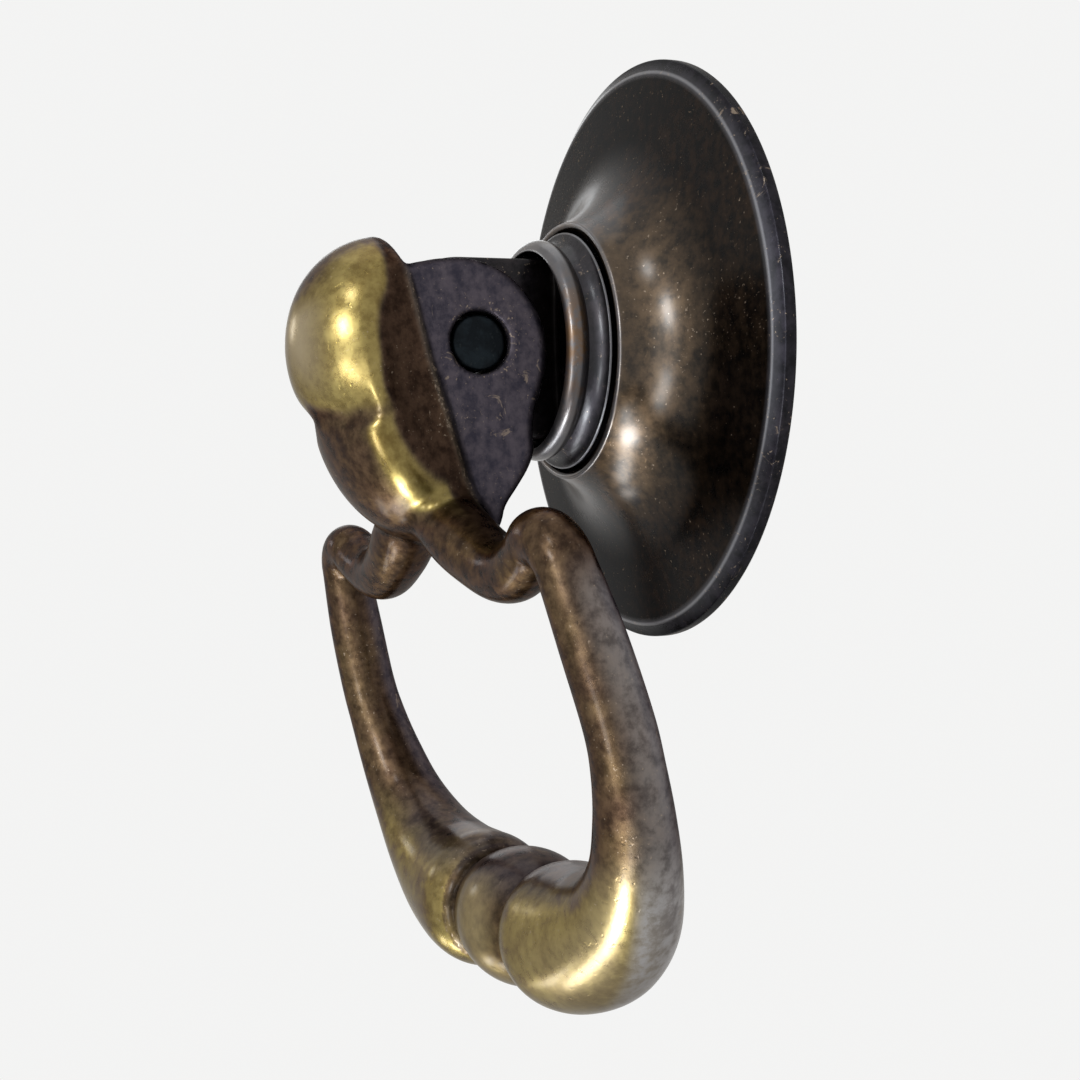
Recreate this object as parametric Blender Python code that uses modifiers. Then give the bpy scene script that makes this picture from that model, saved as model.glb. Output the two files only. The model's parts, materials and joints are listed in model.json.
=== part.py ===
"""Drop pull for a drawer or a small door, in antique brass.

A turned rosette with a belled middle lies on the drawer front. A turned collar sits in the bell's seat, and a
post passes through both. The post's flat tongue stands between the two ears of the cast handle, and a round pin
joins them. The handle is one casting: a two-lobed shield head with its ears, scroll shoulders and a bail that
swells towards a bead between two lobes.

Frame: the origin is on the rosette's axis in the plane of the drawer front, +Z is up, and the pull stands out
along -Y. The handle swings about the pin, which lies along X. Lengths are in metres.
"""

import math

import bmesh
import bpy
from mathutils import Matrix

MM = 0.001

# Running clearance between pieces that move or seat on each other
CLEARANCE = 0.3 * MM

# Post: its flat tongue, and the shank that passes through the collar and the rosette
TONGUE_HALF_HEIGHT = 4.85 * MM
TONGUE_THICKNESS = 3.2 * MM
SHOULDER_THICKNESS = 0.45 * MM
SHANK_RADIUS = 3.0 * MM
TAPPED_HOLE_RADIUS = 1.75 * MM
TAPPED_HOLE_FLOOR = 0.9 * MM

# Rosette, with heights counted forwards from the drawer front
PLATE_RADIUS = 16.0 * MM
PLATE_EDGE_THICKNESS = 1.0 * MM
PLATE_EDGE_ROUND = 0.42 * MM
PLATE_BACK_CHAMFER = 0.25 * MM
FLANGE_WIDTH = 4.2 * MM
FLANGE_RISE = 0.65 * MM
BELL_RISE = 3.71 * MM
BELL_LIP = 0.4 * MM
SEAT_DEPTH = 0.75 * MM

# Collar, from its foot forwards: sharp edge, hollow, half-round bead, lip round the recess
EDGE_OVERHANG = 0.14 * MM
EDGE_RISE = 0.2 * MM
HOLLOW_DEPTH = 0.89 * MM
HOLLOW_RISE = 0.84 * MM
BEAD_LENGTH = 1.23 * MM
BEAD_SWELL = 0.31 * MM
LIP_FLARE = 0.13 * MM
LIP_WIDTH = 0.3 * MM
RECESS_DEPTH = 1.9 * MM

# Pin
PIN_HOLE_RADIUS = 1.66 * MM
PIN_FIT = 0.2 * MM
PIN_END_RECESS = 0.35 * MM

# Head of the handle, in the handle's own upright frame with its origin on the pin
REST_TILT = math.radians(12.96)
FULL_LIFT = math.radians(67)
EARS_WIDTH = 8.12 * MM
EAR_EDGE_ROUND = 0.5 * MM
EAR_BACK_RADIUS = 3.8 * MM
EAR_GAP = 0.4 * MM
HEAD_BACK = 2.6 * MM
HEAD_DEPTH = 6.5 * MM
HEAD_RISE = 6.84 * MM
HEAD_DROP = 9.35 * MM
HEAD_OVERHANG = 0.9 * MM
HEAD_MIDDLE = 1.1 * MM
RIDGE_PROUD = 0.18 * MM

# Bail, in the same frame
BAIL_SETBACK = 3.95 * MM
BAIL_DROP = 30.7 * MM
BAIL_HALF_WIDTH = 18.4 * MM
LEG_RADIUS = 1.8 * MM
LEG_DIP = 1.45 * MM
CREST_DROP = 9.75 * MM
CREST_BEND = 2.0 * MM
CREST_INSET = 3.4 * MM
CREST_RADIUS = 1.45 * MM
ARM_RADIUS = 1.7 * MM
BOW_SQUARENESS = 2.65
LOBE_RADIUS = 3.85 * MM
BEAD_RADIUS = 3.75 * MM
BEAD_HALF_WIDTH = 3.84 * MM
LOBE_END = 2.6 * MM
GROOVE_DEPTH = 0.95 * MM

# Worked out from the sizes above: each ring takes its radius from what stands inside it
SHOULDER_RADIUS = math.hypot(TONGUE_HALF_HEIGHT, TONGUE_THICKNESS / 2)
RECESS_RADIUS = SHOULDER_RADIUS + CLEARANCE
LIP_RADIUS = RECESS_RADIUS + LIP_WIDTH
HOLLOW_RADIUS = LIP_RADIUS - LIP_FLARE
EDGE_RADIUS = HOLLOW_RADIUS + HOLLOW_DEPTH
FOOT_RADIUS = EDGE_RADIUS - EDGE_OVERHANG
SEAT_RADIUS = FOOT_RADIUS + CLEARANCE
BELL_RADIUS = SEAT_RADIUS + BELL_LIP
FLANGE_INNER_RADIUS = PLATE_RADIUS - FLANGE_WIDTH
BORE_RADIUS = SHANK_RADIUS + CLEARANCE

# Heights in front of the drawer front, each from the one behind it
FLANGE_INNER_THICKNESS = PLATE_EDGE_THICKNESS + FLANGE_RISE
BELL_HEIGHT = FLANGE_INNER_THICKNESS + BELL_RISE
SEAT_HEIGHT = BELL_HEIGHT - SEAT_DEPTH
EDGE_HEIGHT = BELL_HEIGHT + EDGE_RISE
HOLLOW_HEIGHT = EDGE_HEIGHT + HOLLOW_RISE
LIP_HEIGHT = HOLLOW_HEIGHT + BEAD_LENGTH
RECESS_FLOOR = LIP_HEIGHT - RECESS_DEPTH
PIN_STANDOFF = LIP_HEIGHT + EAR_GAP + EAR_BACK_RADIUS

# Level sections of the shield head from its bottom to its top: level as a share of the drop or the rise, half
# width as a share of the broadest, then front and widest line as shares of the depth ahead of the head's back
HEAD_SECTIONS = (
    (-1.0, 0.16, 0.26, 0.18),
    (-0.984, 0.323, 0.351, 0.187),
    (-0.92, 0.62, 0.511, 0.201),
    (-0.845, 0.824, 0.622, 0.202),
    (-0.749, 0.942, 0.718, 0.361),
    (-0.642, 0.992, 0.791, 0.478),
    (-0.535, 1.022, 0.84, 0.546),
    (-0.428, 1.033, 0.871, 0.59),
    (-0.342, 1.037, 0.884, 0.608),
    (-0.278, 1.037, 0.897, 0.612),
    (-0.16, 1.031, 0.944, 0.601),
    (0.0, 1.008, 0.993, 0.554),
    (0.146, 0.993, 0.997, 0.525),
    (0.292, 0.979, 0.979, 0.496),
    (0.439, 0.951, 0.937, 0.437),
    (0.585, 0.904, 0.866, 0.313),
    (0.731, 0.782, 0.758, 0.201),
    (0.848, 0.61, 0.627, 0.189),
    (0.921, 0.448, 0.504, 0.188),
    (0.965, 0.303, 0.393, 0.178),
    (1.0, 0.1, 0.24, 0.177),
)

# Ears' outline behind the head: back as a share of the back radius, level as a share of the top or of the drop
EAR_SECTIONS = (
    (-0.58, 1.0),
    (-0.21, 0.98),
    (0.24, 0.9),
    (0.65, 0.67),
    (0.9, 0.36),
    (1.0, 0.0),
    (0.95, -0.17),
    (0.76, -0.32),
    (0.57, -0.45),
    (0.46, -0.57),
    (0.42, -0.66),
    (0.29, -0.75),
    (0.03, -0.83),
    (-0.21, -0.9),
    (-0.39, -0.98),
    (-0.66, -1.03),
)

# Fineness of the facets
TURNED_STEPS = 60
ROD_STEPS = 30
TUBE_SIDES_RESOLUTION = 6
TUBE_STEPS = 2
OUTLINE_STEPS = 4
HEAD_RING_POINTS = 10
HEAD_STEPS = 2

# Finishes: colour, metallic, roughness
FINISHES = {
    "dark_brass": ((0.075, 0.052, 0.034, 1.0), 1.0, 0.38),
    "rubbed_brass": ((0.24, 0.165, 0.065, 1.0), 1.0, 0.32),
    "blackened_steel": ((0.02, 0.022, 0.024, 1.0), 1.0, 0.45),
}


def clear_scene():
    """Remove every object, so that the model starts from an empty scene."""
    for obj in list(bpy.data.objects):
        bpy.data.objects.remove(obj)


def new_collection(name):
    """A collection of this name, linked to the scene."""
    collection = bpy.data.collections.new(name)
    bpy.context.scene.collection.children.link(collection)
    return collection


def finish(name):
    """A Principled material of the named finish."""
    colour, metallic, roughness = FINISHES[name]
    material = bpy.data.materials.new(name)
    material.use_nodes = True
    shader = material.node_tree.nodes["Principled BSDF"]
    shader.inputs["Base Color"].default_value = colour
    shader.inputs["Metallic"].default_value = metallic
    shader.inputs["Roughness"].default_value = roughness
    return material


def add_object(name, data, collection):
    """Link a new object that shows this mesh or curve."""
    obj = bpy.data.objects.new(name, data)
    collection.objects.link(obj)
    return obj


def hide_helper(obj):
    """Keep a cutter or a joined blank out of the finished model."""
    obj.hide_render = True
    obj.display_type = "WIRE"
    return obj


def mesh_from_bmesh(name, bm):
    """A mesh that holds what bm holds, with its faces pointing outwards."""
    bmesh.ops.recalc_face_normals(bm, faces=bm.faces)
    mesh = bpy.data.meshes.new(name)
    bm.to_mesh(mesh)
    bm.free()
    return mesh


def boolean(obj, other, operation):
    """Join other to obj, or cut it from obj."""
    modifier = obj.modifiers.new(other.name, "BOOLEAN")
    modifier.operation = operation
    modifier.object = other
    modifier.solver = "EXACT"


def arc(centre, radius, start, end, steps):
    """Points on an arc from angle start to angle end, in degrees, both ends included."""
    points = []
    for k in range(steps + 1):
        angle = math.radians(start + (end - start) * k / steps)
        points.append((centre[0] + radius * math.cos(angle), centre[1] + radius * math.sin(angle)))
    return points


def bezier(p0, p1, p2, p3, steps):
    """Points on a cubic Bezier segment, both ends included."""
    points = []
    for k in range(steps + 1):
        t = k / steps
        weights = ((1 - t) ** 3, 3 * t * (1 - t) ** 2, 3 * t * t * (1 - t), t**3)
        points.append(
            tuple(sum(w * p[axis] for w, p in zip(weights, (p0, p1, p2, p3))) for axis in (0, 1))
        )
    return points


def smooth_through(stations, steps):
    """Catmull-Rom curve through the stations, each a tuple of any length."""
    ends = [stations[0], *stations, stations[-1]]
    points = []
    for a, b, c, d in zip(ends, ends[1:], ends[2:], ends[3:]):
        for k in range(steps):
            t = k / steps
            point = []
            for p, q, r, s in zip(a, b, c, d):
                value = 2 * q + (r - p) * t
                value += (2 * p - 5 * q + 4 * r - s) * t * t
                value += (3 * q - p - 3 * r + s) * t**3
                point.append(value / 2)
            points.append(tuple(point))
    points.append(tuple(stations[-1]))
    return points


def turned(name, profile, collection):
    """A solid turned about the rosette's axis, from (radius, stand-off) points that run down its outer side.

    The profile closes on itself round a bore, or starts and ends on the axis.
    """
    mesh = bpy.data.meshes.new(name)
    vertices = [(radius, 0.0, standoff) for radius, standoff in profile]
    edges = [(k, k + 1) for k in range(len(profile) - 1)]
    has_bore = profile[0][0] > 0
    if has_bore:
        edges.append((len(profile) - 1, 0))
    mesh.from_pydata(vertices, edges, [])
    obj = add_object(name, mesh, collection)
    obj.rotation_euler = (math.pi / 2, 0.0, 0.0)
    screw = obj.modifiers.new("turn", "SCREW")
    screw.steps = TURNED_STEPS
    screw.render_steps = TURNED_STEPS
    screw.use_merge_vertices = not has_bore
    screw.merge_threshold = 0.001 * MM
    screw.use_smooth_shade = True
    return obj


def rod(name, radius, depth, collection):
    """A plain round bar along X, centred on the origin."""
    bm = bmesh.new()
    bmesh.ops.create_cone(
        bm,
        cap_ends=True,
        segments=ROD_STEPS,
        radius1=radius,
        radius2=radius,
        depth=depth,
        matrix=Matrix.Rotation(math.pi / 2, 4, "Y"),
    )
    return add_object(name, mesh_from_bmesh(name, bm), collection)


def made_mesh(obj):
    """Replace a curve object by a welded mesh object of the same name and place."""
    bpy.context.view_layer.update()
    graph = bpy.context.evaluated_depsgraph_get()
    mesh = bpy.data.meshes.new_from_object(obj.evaluated_get(graph))
    bm = bmesh.new()
    bm.from_mesh(mesh)
    bmesh.ops.remove_doubles(bm, verts=bm.verts, dist=0.001 * MM)
    bmesh.ops.recalc_face_normals(bm, faces=bm.faces)
    bm.to_mesh(mesh)
    bm.free()
    name, collection, place = obj.name, obj.users_collection[0], obj.matrix_world.copy()
    bpy.data.objects.remove(obj)
    solid = add_object(name, mesh, collection)
    solid.matrix_world = place
    return solid


def plate_from_outline(name, outline, thickness, collection):
    """A flat plate square to X: an outline of (y, z) points with half its thickness on each side of x = 0."""
    curve = bpy.data.curves.new(name, "CURVE")
    curve.dimensions = "2D"
    curve.fill_mode = "BOTH"
    curve.extrude = thickness / 2
    spline = curve.splines.new("POLY")
    spline.points.add(len(outline) - 1)
    for point, (y, z) in zip(spline.points, outline):
        point.co = (y, z, 0.0, 1.0)
    spline.use_cyclic_u = True
    obj = add_object(name, curve, collection)
    # The curve's own x, y and z become the model's y, z and x.
    obj.matrix_world = Matrix(((0, 0, 1, 0), (1, 0, 0, 0), (0, 1, 0, 0), (0, 0, 0, 1)))
    return made_mesh(obj)


def build_backplate(collection):
    """Rosette: flat back, thin flange, belled middle that ends in a sharp lip round the collar's seat."""
    bell_width = FLANGE_INNER_RADIUS - BELL_RADIUS
    bell = bezier(
        (BELL_RADIUS, BELL_HEIGHT),
        (BELL_RADIUS + 0.18 * bell_width, 0.58 * BELL_HEIGHT),
        (BELL_RADIUS + 0.62 * bell_width, 1.2 * FLANGE_INNER_THICKNESS),
        (FLANGE_INNER_RADIUS, FLANGE_INNER_THICKNESS),
        8,
    )
    round_centre = (PLATE_RADIUS - PLATE_EDGE_ROUND, PLATE_EDGE_THICKNESS - PLATE_EDGE_ROUND)
    profile = [
        *bell,
        *arc(round_centre, PLATE_EDGE_ROUND, 80, 0, 3),
        (PLATE_RADIUS, PLATE_BACK_CHAMFER),
        (PLATE_RADIUS - PLATE_BACK_CHAMFER, 0.0),
        (BORE_RADIUS, 0.0),
        (BORE_RADIUS, SEAT_HEIGHT),
        (SEAT_RADIUS, SEAT_HEIGHT),
        (SEAT_RADIUS, BELL_HEIGHT - BELL_LIP / 4),
    ]
    return turned("backplate", profile, collection)


def build_collar(collection):
    """Collar: foot in the rosette's seat, hollow with a sharp rear edge, half-round bead, recess in front."""
    base = SEAT_HEIGHT + CLEARANCE
    # A Bezier's middle stands out from its ends by three quarters of its handles' reach.
    bead_reach = BEAD_SWELL / 0.75
    bead = bezier(
        (LIP_RADIUS, LIP_HEIGHT - LIP_WIDTH / 4),
        (LIP_RADIUS + bead_reach, LIP_HEIGHT - LIP_WIDTH / 4),
        (HOLLOW_RADIUS + bead_reach, HOLLOW_HEIGHT),
        (HOLLOW_RADIUS, HOLLOW_HEIGHT),
        7,
    )
    hollow = bezier(
        (HOLLOW_RADIUS, HOLLOW_HEIGHT),
        (HOLLOW_RADIUS + 0.15 * HOLLOW_DEPTH, (HOLLOW_HEIGHT + EDGE_HEIGHT) / 2),
        (HOLLOW_RADIUS + 0.5 * HOLLOW_DEPTH, EDGE_HEIGHT),
        (EDGE_RADIUS, EDGE_HEIGHT),
        4,
    )
    profile = [
        (LIP_RADIUS - LIP_WIDTH / 2, LIP_HEIGHT),
        *bead,
        *hollow[1:],
        (FOOT_RADIUS, EDGE_HEIGHT - EDGE_OVERHANG),
        (FOOT_RADIUS, base),
        (BORE_RADIUS, base),
        (BORE_RADIUS, RECESS_FLOOR),
        (RECESS_RADIUS, RECESS_FLOOR),
        (RECESS_RADIUS, LIP_HEIGHT - LIP_WIDTH / 2),
    ]
    return turned("collar", profile, collection)


def build_post(collection, cutters):
    """Post: flat tongue with a half-round nose, round shoulder, and a shank tapped with a blind hole."""
    shoulder_base = RECESS_FLOOR + CLEARANCE
    shoulder_top = shoulder_base + SHOULDER_THICKNESS
    hole_end = shoulder_top - TAPPED_HOLE_FLOOR
    profile = [
        (0.0, shoulder_top),
        (SHOULDER_RADIUS, shoulder_top),
        (SHOULDER_RADIUS, shoulder_base),
        (SHANK_RADIUS, shoulder_base),
        (SHANK_RADIUS, CLEARANCE),
        (TAPPED_HOLE_RADIUS, CLEARANCE),
        (TAPPED_HOLE_RADIUS, hole_end),
        (0.0, hole_end),
    ]
    post = turned("pivot_post", profile, collection)
    nose = arc((-PIN_STANDOFF, 0.0), TONGUE_HALF_HEIGHT, 90, 270, 16)
    root = -(shoulder_base + SHOULDER_THICKNESS / 2)
    outline = [*nose, (root, -TONGUE_HALF_HEIGHT), (root, TONGUE_HALF_HEIGHT)]
    tongue = hide_helper(plate_from_outline("tongue_blank", outline, TONGUE_THICKNESS, cutters))
    boolean(post, tongue, "UNION")
    hole = hide_helper(rod("tongue_hole", PIN_HOLE_RADIUS + PIN_FIT / 2, 2 * TONGUE_THICKNESS, cutters))
    hole.location = (0.0, -PIN_STANDOFF, 0.0)
    boolean(post, hole, "DIFFERENCE")
    return post


def head_stations():
    """Level, half width, front and widest line of the shield head, from its bottom to its top.

    Distances to the front are measured from the pin's axis, forwards.
    """
    broadest = EARS_WIDTH / 2 + HEAD_OVERHANG
    return [
        (
            level * (HEAD_RISE if level > 0 else HEAD_DROP),
            width * broadest,
            HEAD_BACK + front * HEAD_DEPTH,
            HEAD_BACK + widest * HEAD_DEPTH,
        )
        for level, width, front, widest in HEAD_SECTIONS
    ]


def head_ring(level, half_width, front, widest):
    """One level section of the head: round front, side that falls back to the ears' faces, flat back."""
    ridge = min(EARS_WIDTH / 2 + RIDGE_PROUD, half_width)
    # The front is an ellipse about the head's middle, cut off at the widest line.
    middle = min(HEAD_BACK + HEAD_MIDDLE, widest)
    depth = front - middle
    end = math.acos((widest - middle) / depth)
    right = []
    for k in range(HEAD_RING_POINTS + 1):
        angle = end * k / HEAD_RING_POINTS
        x = half_width * math.sin(angle) / math.sin(end)
        y = -middle - depth * math.cos(angle)
        right.append((x, y))
    # The side is slightly hollow between the widest line and the ridge on the ear's face.
    right.append(((half_width + 2 * ridge) / 3, -(widest + 2 * HEAD_BACK) / 3))
    right.append((ridge, -HEAD_BACK))
    left = [(-x, y) for x, y in reversed(right[1:])]
    return [(x, y, level) for x, y in right + left]


def build_head(collection):
    """Loft of the shield head through its level sections, closed at the top and the bottom."""
    stations = smooth_through(head_stations(), HEAD_STEPS)
    bm = bmesh.new()
    rings = [[bm.verts.new(point) for point in head_ring(*station)] for station in stations]
    count = len(rings[0])
    for lower, upper in zip(rings, rings[1:]):
        for k in range(count):
            after = (k + 1) % count
            bm.faces.new((lower[k], lower[after], upper[after], upper[k]))
    bm.faces.new(rings[0])
    bm.faces.new(rings[-1])
    bmesh.ops.triangulate(bm, faces=bm.faces)
    return add_object("handle", mesh_from_bmesh("handle", bm), collection)


def ear_outline():
    """Outline of the ears as (y, z) points: round behind the pin, a waist, and a tail that ends in the leg."""
    top = TONGUE_HALF_HEIGHT - CLEARANCE / 3
    stations = [
        (back * EAR_BACK_RADIUS, level * (top if level > 0 else HEAD_DROP)) for back, level in EAR_SECTIONS
    ]
    curve = smooth_through(stations, OUTLINE_STEPS)
    # The outline closes inside the head, ahead of its back.
    inside = -(HEAD_BACK + HEAD_DEPTH / 6)
    return [(inside, top), *curve, (inside, -0.92 * HEAD_DROP)]


def bow_point(angle):
    """A point of the bow, a superellipse quarter from the arm's outermost point, at 0, down to the bar, at 90."""
    crest = -CREST_DROP
    middle = crest - 0.41 * (BAIL_DROP - CREST_DROP)
    power = 2 / BOW_SQUARENESS
    x = BAIL_HALF_WIDTH * math.cos(math.radians(angle)) ** power
    z = middle - (BAIL_DROP + middle) * math.sin(math.radians(angle)) ** power
    return x, z


def rounded_end(radius, share):
    """Radius beside a groove: full at share 0, and down to the groove's bottom at share 1, as a ball falls away."""
    return radius - GROOVE_DEPTH * (1 - math.sqrt(1 - share**2))


def bail_stations():
    """Centre line of the bail's right half as (x, z, radius), from inside the head down to the middle."""
    crest = -CREST_DROP
    root = -HEAD_DROP
    dip = crest - LEG_DIP
    out = BAIL_HALF_WIDTH
    leg = [
        (0.04 * out, root + 1.1 * LEG_RADIUS, 0.8 * LEG_RADIUS),
        (0.13 * out, root + 0.6 * LEG_RADIUS, 0.95 * LEG_RADIUS),
        (0.25 * out, (root + crest) / 2, LEG_RADIUS),
        (0.36 * out, (crest + dip) / 2, 0.95 * LEG_RADIUS),
        (0.49 * out, dip, 0.9 * LEG_RADIUS),
        (0.61 * out, dip, 0.85 * LEG_RADIUS),
    ]
    crest_centre = (out - CREST_INSET, crest - CREST_BEND)
    shoulder = [(x, z, CREST_RADIUS) for x, z in arc(crest_centre, CREST_BEND, 135, 15, 5)]
    top_of_bow = bow_point(0)[1]
    arm = [
        (out - 0.35 * (CREST_INSET - CREST_BEND), crest + 0.6 * (top_of_bow - crest), ARM_RADIUS),
    ]
    bow_end = bow_point(68)[0]
    bow = []
    for angle in (0, 12, 24, 36, 47, 58, 68):
        x, z = bow_point(angle)
        share = (out - x) / (out - bow_end)
        bow.append((x, z, ARM_RADIUS + (0.92 * LOBE_RADIUS - ARM_RADIUS) * share))
    bar = -BAIL_DROP
    groove = (BEAD_RADIUS + LOBE_RADIUS) / 2 - GROOVE_DEPTH
    lobe = []
    for share in (0.0, 0.3, 0.6, 0.8, 0.93):
        lobe.append((BEAD_HALF_WIDTH + (1 - share) * LOBE_END, bar, rounded_end(LOBE_RADIUS, share)))
    bead = [(BEAD_HALF_WIDTH, bar, groove)]
    for share in (0.93, 0.8, 0.6, 0.3, 0.0):
        bead.append((share * BEAD_HALF_WIDTH, bar, rounded_end(BEAD_RADIUS, share)))
    return [*leg, *shoulder, *arm, *bow, *lobe, *bead]


def build_bail(collection):
    """Swelling tube along the whole centre line, from one leg's root to the other's."""
    half = bail_stations()
    whole = half + [(-x, z, radius) for x, z, radius in reversed(half[:-1])]
    points = smooth_through(whole, TUBE_STEPS)
    curve = bpy.data.curves.new("bail_blank", "CURVE")
    curve.dimensions = "3D"
    curve.bevel_depth = 1.0 * MM
    curve.bevel_resolution = TUBE_SIDES_RESOLUTION
    curve.use_fill_caps = True
    spline = curve.splines.new("POLY")
    spline.points.add(len(points) - 1)
    for point, (x, z, radius) in zip(spline.points, points):
        point.co = (x, -BAIL_SETBACK, z, 1.0)
        point.radius = radius / MM
    return hide_helper(made_mesh(add_object("bail_blank", curve, collection)))


def build_handle(collection, cutters):
    """The casting: head, ears and bail joined, then the slot for the tongue and the pin's hole cut through."""
    handle = build_head(collection)
    ears = hide_helper(plate_from_outline("ears_blank", ear_outline(), EARS_WIDTH, cutters))
    bevel = ears.modifiers.new("edge_round", "BEVEL")
    bevel.width = EAR_EDGE_ROUND
    bevel.segments = 3
    bevel.limit_method = "ANGLE"
    bevel.angle_limit = math.radians(60)
    bail = build_bail(cutters)
    slot_radius = TONGUE_HALF_HEIGHT + CLEARANCE
    slot_width = TONGUE_THICKNESS + 2 * CLEARANCE
    # The slot has a round pocket ahead of the pin for the tongue's nose, and is open behind the head's back. Its
    # upper side follows the tongue's upper edge as it lies when the handle is fully lifted.
    mouth = math.degrees(math.acos(HEAD_BACK / slot_radius))
    turn = FULL_LIFT - REST_TILT
    corner_y = -slot_radius * math.sin(turn)
    corner_z = slot_radius * math.cos(turn)
    upper_mouth = corner_z + (-HEAD_BACK - corner_y) * math.tan(turn)
    pocket = arc((0.0, 0.0), slot_radius, 90 + math.degrees(turn), 180 + mouth, 12)
    reach = 3 * slot_radius
    outline = [
        (-HEAD_BACK, reach),
        (-HEAD_BACK, upper_mouth),
        *pocket,
        (-HEAD_BACK, -reach),
        (reach, -reach),
        (reach, reach),
    ]
    slot = hide_helper(plate_from_outline("slot_cutter", outline, slot_width, cutters))
    hole = hide_helper(rod("ear_hole", PIN_HOLE_RADIUS, 2 * EARS_WIDTH, cutters))
    boolean(handle, bail, "UNION")
    boolean(handle, ears, "UNION")
    boolean(handle, slot, "DIFFERENCE")
    boolean(handle, hole, "DIFFERENCE")
    return handle, (ears, bail, slot, hole)


def build_pin(collection):
    """Hinge pin, a little short of the ears' faces at both ends."""
    return rod("hinge_pin", PIN_HOLE_RADIUS - PIN_FIT, EARS_WIDTH - 2 * PIN_END_RECESS, collection)


def main():
    clear_scene()
    parts = new_collection("drop_pull")
    cutters = new_collection("cutters")
    materials = {name: finish(name) for name in FINISHES}

    backplate = build_backplate(parts)
    collar = build_collar(parts)
    post = build_post(parts, cutters)
    handle, helpers = build_handle(parts, cutters)
    pin = build_pin(parts)

    # The handle hangs with its lower end leaning towards the drawer front.
    hinge = bpy.data.objects.new("hinge_axis", None)
    parts.objects.link(hinge)
    hinge.location = (0.0, -PIN_STANDOFF, 0.0)
    hinge.rotation_euler = (REST_TILT, 0.0, 0.0)
    for obj in (handle, pin, *helpers):
        obj.parent = hinge

    dressed = {
        "dark_brass": (backplate, collar, post),
        "rubbed_brass": (handle,),
        "blackened_steel": (pin,),
    }
    for name, objects in dressed.items():
        for obj in objects:
            obj.data.materials.append(materials[name])
    for obj in (handle, pin):
        obj.data.shade_smooth()


main()
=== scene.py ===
"""Looks of the drop pull: refined turned pieces, the cast handle, antique-brass finishes, light and camera.

Meshes are in metres in the model's frame: the origin is on the rosette's axis in the plane of the drawer
front, +Z is up and the pull stands out along -Y. The casting is worked out in millimetres in the handle's own
frame, whose origin is on the hinge pin: x to the right, u backwards and w upwards, turned about X from the
model's frame by the rest tilt.
"""

import json
import math

import bmesh
import bpy
import numpy as np
from mathutils import Matrix, Vector


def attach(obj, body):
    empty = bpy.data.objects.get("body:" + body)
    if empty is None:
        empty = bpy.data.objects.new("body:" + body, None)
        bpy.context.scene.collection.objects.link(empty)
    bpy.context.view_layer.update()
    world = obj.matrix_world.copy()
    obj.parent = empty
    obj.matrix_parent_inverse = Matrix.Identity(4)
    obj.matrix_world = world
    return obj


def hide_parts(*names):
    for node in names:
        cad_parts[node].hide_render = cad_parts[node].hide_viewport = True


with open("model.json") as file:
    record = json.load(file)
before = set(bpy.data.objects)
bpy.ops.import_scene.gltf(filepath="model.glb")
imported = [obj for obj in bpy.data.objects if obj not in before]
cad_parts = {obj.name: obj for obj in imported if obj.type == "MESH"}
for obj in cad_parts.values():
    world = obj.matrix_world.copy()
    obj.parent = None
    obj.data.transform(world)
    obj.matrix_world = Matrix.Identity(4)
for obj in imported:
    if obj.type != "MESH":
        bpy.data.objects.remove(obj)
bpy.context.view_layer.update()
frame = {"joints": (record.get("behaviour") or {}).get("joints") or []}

MM = 0.001

# Pin's place from the imported joint, and the handle's rest tilt and full lift
HINGE = next(joint for joint in frame["joints"] if joint["name"] == "handle_hinge")
PIN_PLACE = np.array(HINGE["pos_m"]) / MM
REST_TILT = math.radians(12.96)
FULL_LIFT = math.radians(67.0) - REST_TILT

# Sizes below are in millimetres, as in the model's own source

CLEARANCE = 0.3
TONGUE_HALF_HEIGHT = 4.85
TONGUE_THICKNESS = 3.2
PIN_HOLE_RADIUS = 1.66
PIN_RADIUS = 1.46
EARS_WIDTH = 8.12
PIN_END_RECESS = 0.35

# Casting: grid spacing of the field that the surface is drawn from, and the blends between its forms
CELL = 0.2
COARSE_CELLS = 4
LOBE_BLEND = 0.45
LEG_BLEND = 0.75
EAR_BLEND = 0.35
RIDGE_BLEND = 0.3
SLOT_EDGE_ROUND = 0.25
HOLE_EDGE_ROUND = 0.2


def smooth_min(a, b, width):
    """Smallest of two fields, rounded over where they differ by less than width: a fillet between forms."""
    h = np.clip(0.5 + 0.5 * (b - a) / width, 0.0, 1.0)
    return b + (a - b) * h - width * h * (1.0 - h)


def smooth_max(a, b, width):
    """Largest of two fields, rounded over the same way: a rounded edge where one form cuts another."""
    return -smooth_min(-a, -b, width)


def ramp(value, low, high):
    """0 below low, 1 above high and a smooth rise between them."""
    t = np.clip((value - low) / (high - low), 0.0, 1.0)
    return t * t * (3 - 2 * t)


def ellipsoid(x, u, w, centre, axes):
    """Distance to an ellipsoid, to first order: k (k - 1) / |grad k|, with k the scaled radius."""
    px, pu, pw = x - centre[0], u - centre[1], w - centre[2]
    k = np.sqrt((px / axes[0]) ** 2 + (pu / axes[1]) ** 2 + (pw / axes[2]) ** 2)
    slope = np.sqrt((px / axes[0] ** 2) ** 2 + (pu / axes[1] ** 2) ** 2 + (pw / axes[2] ** 2) ** 2)
    return k * (k - 1.0) / np.maximum(slope, 1e-6)


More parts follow.
